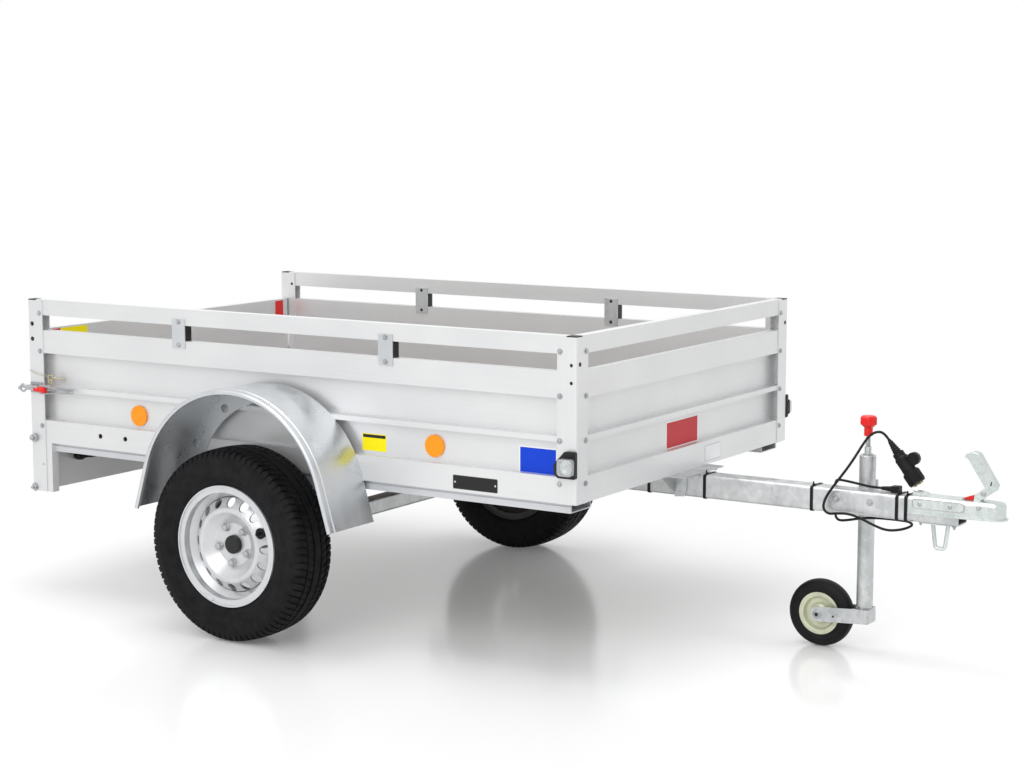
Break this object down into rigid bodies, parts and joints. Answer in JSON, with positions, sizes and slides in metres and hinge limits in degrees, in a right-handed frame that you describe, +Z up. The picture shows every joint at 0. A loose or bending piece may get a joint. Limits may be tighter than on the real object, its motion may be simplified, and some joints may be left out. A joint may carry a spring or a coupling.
{
  "type": "utility trailer",
  "caption": "Single-axle box trailer with ribbed aluminium walls, hinged tailgate, arched mudguards, drawbar with ball coupling and swivelling jockey wheel.",
  "frame": {"origin": "on the ground, under the middle of the overall length, on the trailer's centre line", "axes": "+X forward to the coupling, +Y to the left, +Z up"},
  "size_m": [3.102, 1.756, 0.962],
  "materials": {
    "aluminium_board": "satin anodised",
    "aluminium_frame": "mill finish",
    "floor_plate": "coated plywood, mesh side up",
    "black_plastic": "matte",
    "galvanised_steel": "hot-dip galvanised, mottled",
    "zinc_plate": "bright zinc plated",
    "silver_paint": "silver paint",
    "tyre_rubber": "matte",
    "small_tyre_rubber": "matte",
    "cream_plastic": "matte",
    "red_plastic": "gloss",
    "red_lens": "clear gloss",
    "clear_lens": "clear gloss",
    "orange_lens": "prismatic gloss",
    "black_rubber": "matte"
  },
  "bodies": {
    "trailer": {"axle_beam": "galvanised_steel", "axle_hangers": "galvanised_steel", "cable_glands": "black_rubber", "cable_ties": "black_rubber", "coupling_head": "zinc_plate", "coupling_lever": "zinc_plate", "drawbar": "galvanised_steel", "drawbar_bracket": "galvanised_steel", "fixed_cable": "black_rubber", "floor": "floor_plate", "floor_bearers": "aluminium_frame", "front_posts": "aluminium_board", "front_wall": "aluminium_board", "jockey_clamp": "galvanised_steel", "jockey_knob": "red_plastic", "jockey_spindle": "galvanised_steel", "jockey_tube": "galvanised_steel", "lamp_plug": "black_rubber", "marker_brackets": "black_plastic", "marker_lenses": "clear_lens", "mudguard_left": "galvanised_steel", "mudguard_right": "galvanised_steel", "plate_lamps": "black_plastic", "post_caps": "black_plastic", "rail_blocks": "black_plastic", "rail_straps": "galvanised_steel", "rear_beam": "aluminium_board", "rear_legs": "aluminium_board", "rear_posts": "aluminium_board", "side_members": "aluminium_frame", "side_reflectors": "orange_lens", "side_walls": "aluminium_board", "support_loop": "galvanised_steel", "suspension_arms": "galvanised_steel", "tail_lamps": "red_lens", "tailgate_latches": "zinc_plate", "top_rails": "aluminium_board", "trailer_cable": "black_rubber", "trailer_plug": "black_rubber"},
    "wheel_left": {"hub_cap_left": "black_plastic", "hub_left": "zinc_plate", "rim_left": "silver_paint", "tyre_left": "tyre_rubber"},
    "wheel_right": {"hub_cap_right": "black_plastic", "hub_right": "zinc_plate", "rim_right": "silver_paint", "tyre_right": "tyre_rubber"},
    "jockey_fork": {"jockey_fork": "galvanised_steel"},
    "jockey_leg": {"jockey_inner_tube": "galvanised_steel"},
    "jockey_wheel": {"jockey_rim": "cream_plastic", "jockey_tyre": "small_tyre_rubber"},
    "tailgate": {"tailgate": "aluminium_board", "tailgate_eyes": "zinc_plate"}
  },
  "joints": [
    {"name": "wheel_left_spin", "type": "hinge", "parent": "trailer", "child": "wheel_left", "pos_m": [-0.529, 0.782, 0.29], "axis": [0, 1, 0], "continuous": true},
    {"name": "wheel_right_spin", "type": "hinge", "parent": "trailer", "child": "wheel_right", "pos_m": [-0.529, -0.782, 0.29], "axis": [0, 1, 0], "continuous": true},
    {"name": "tailgate_hinge", "type": "hinge", "parent": "trailer", "child": "tailgate", "pos_m": [-1.482, 0, 0.51], "axis": [0, -1, 0], "range_deg": [0, 90]},
    {"name": "jockey_height", "type": "slide", "parent": "trailer", "child": "jockey_leg", "axis": [0, 0, -1], "range_m": [0, 0.2]},
    {"name": "jockey_swivel", "type": "hinge", "parent": "jockey_leg", "child": "jockey_fork", "pos_m": [1.106, 0.069, 0.109], "axis": [0, 0, 1], "continuous": true},
    {"name": "jockey_wheel_spin", "type": "hinge", "parent": "jockey_fork", "child": "jockey_wheel", "pos_m": [0.972, 0.069, 0.1], "axis": [0, 1, 0], "continuous": true}
  ]
}
